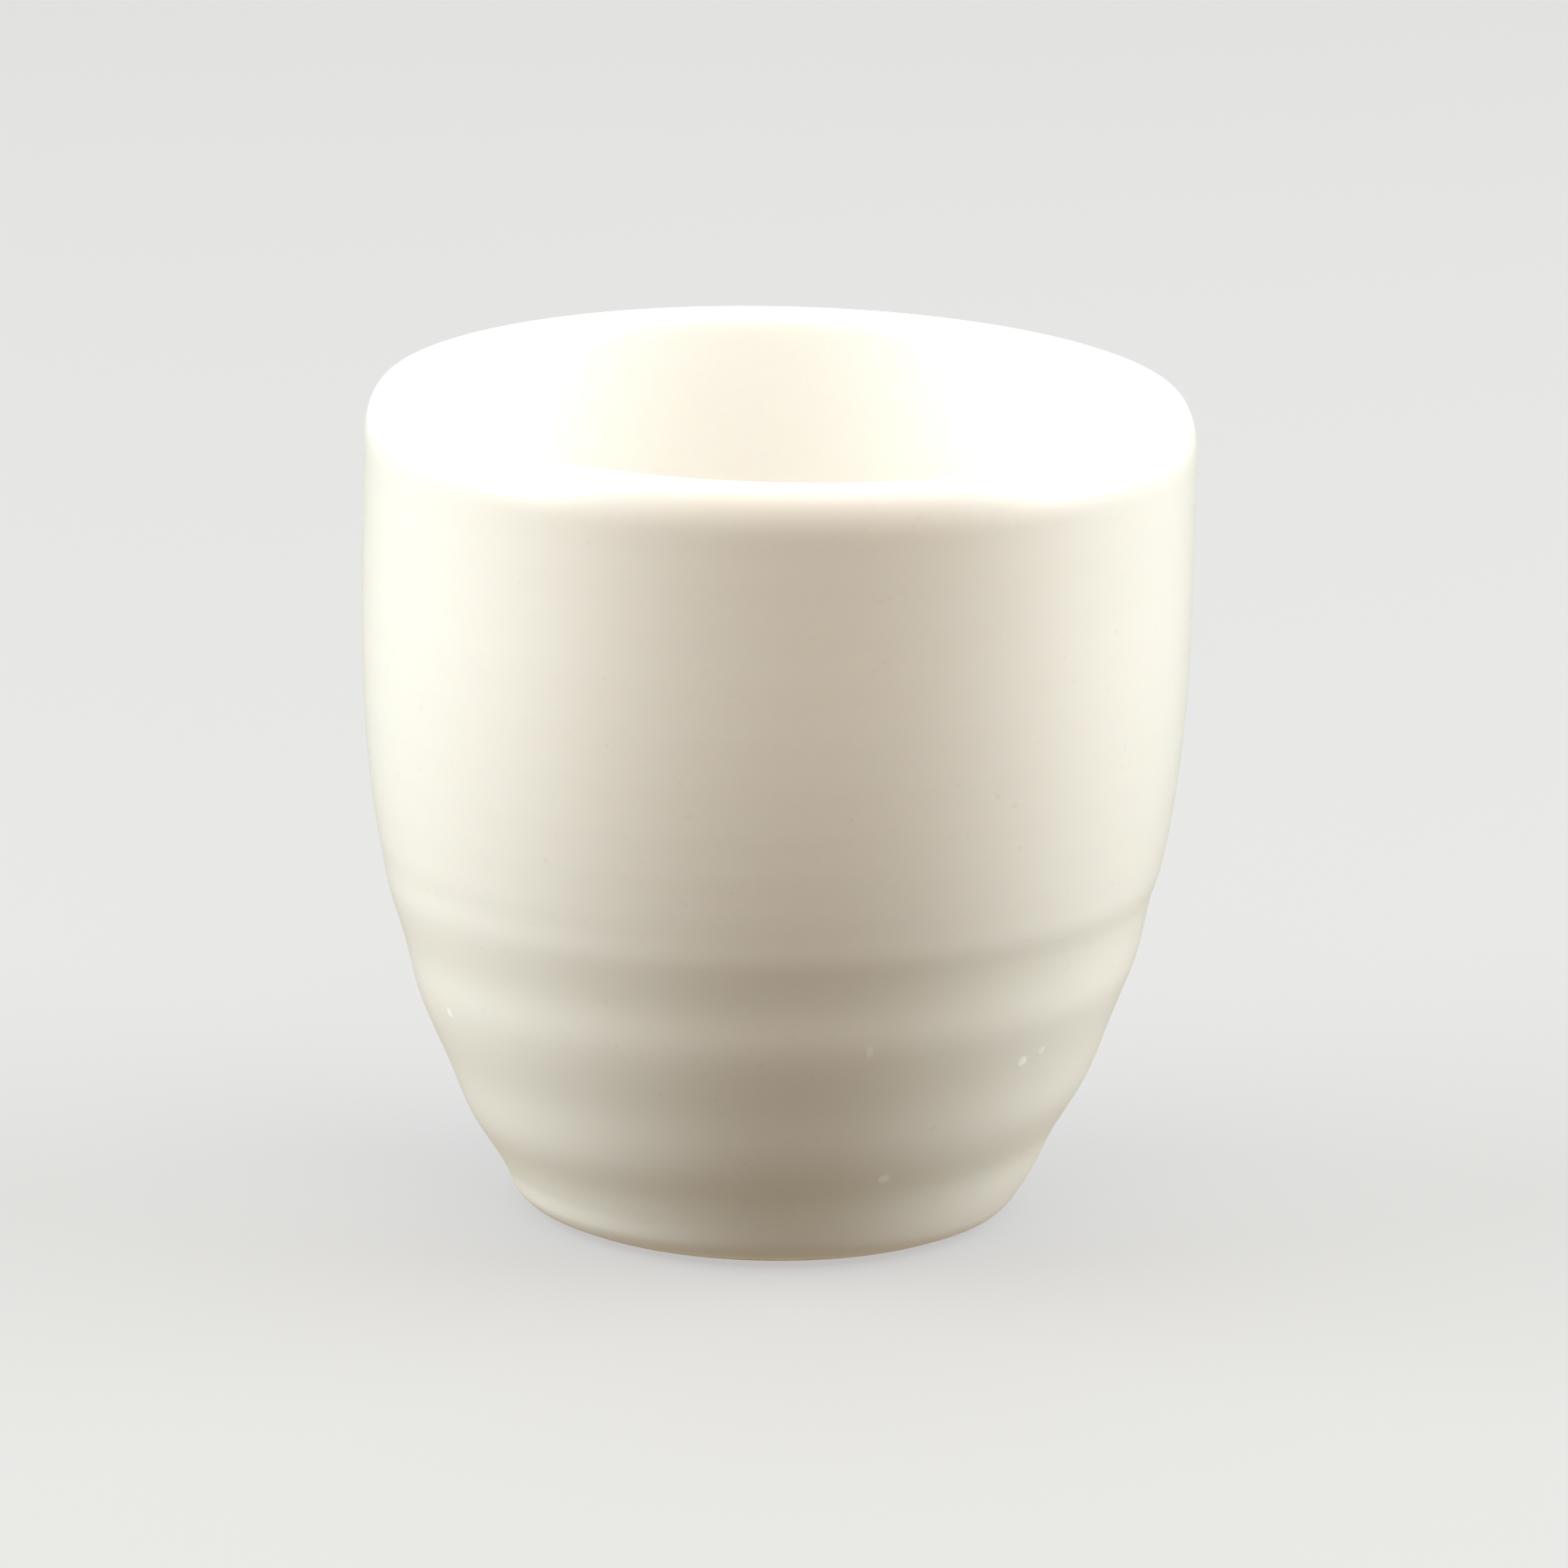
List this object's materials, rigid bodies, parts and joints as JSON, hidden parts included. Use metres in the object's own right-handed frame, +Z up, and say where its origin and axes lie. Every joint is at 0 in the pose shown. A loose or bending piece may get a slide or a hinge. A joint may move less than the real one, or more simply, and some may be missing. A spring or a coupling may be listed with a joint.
{
  "type": "porcelain crucible",
  "caption": "Small glazed porcelain crucible: an open cup with a round lip, a wall drawn in towards a flat foot, and a soft spiral groove around its lower wall.",
  "frame": {"origin": "centre of the foot, on the surface that the crucible stands on", "axes": "+Z up, along the axis that the crucible was turned about; -Y is the front, where the lowest whole turn of the groove is 4.3 mm up"},
  "size_m": [0.05, 0.05, 0.0503],
  "materials": {
    "glazed_porcelain": "cream-white glaze, soft gloss, with a bare foot ring"
  },
  "bodies": {
    "root": {"crucible_body": "glazed_porcelain"}
  },
  "joints": []
}
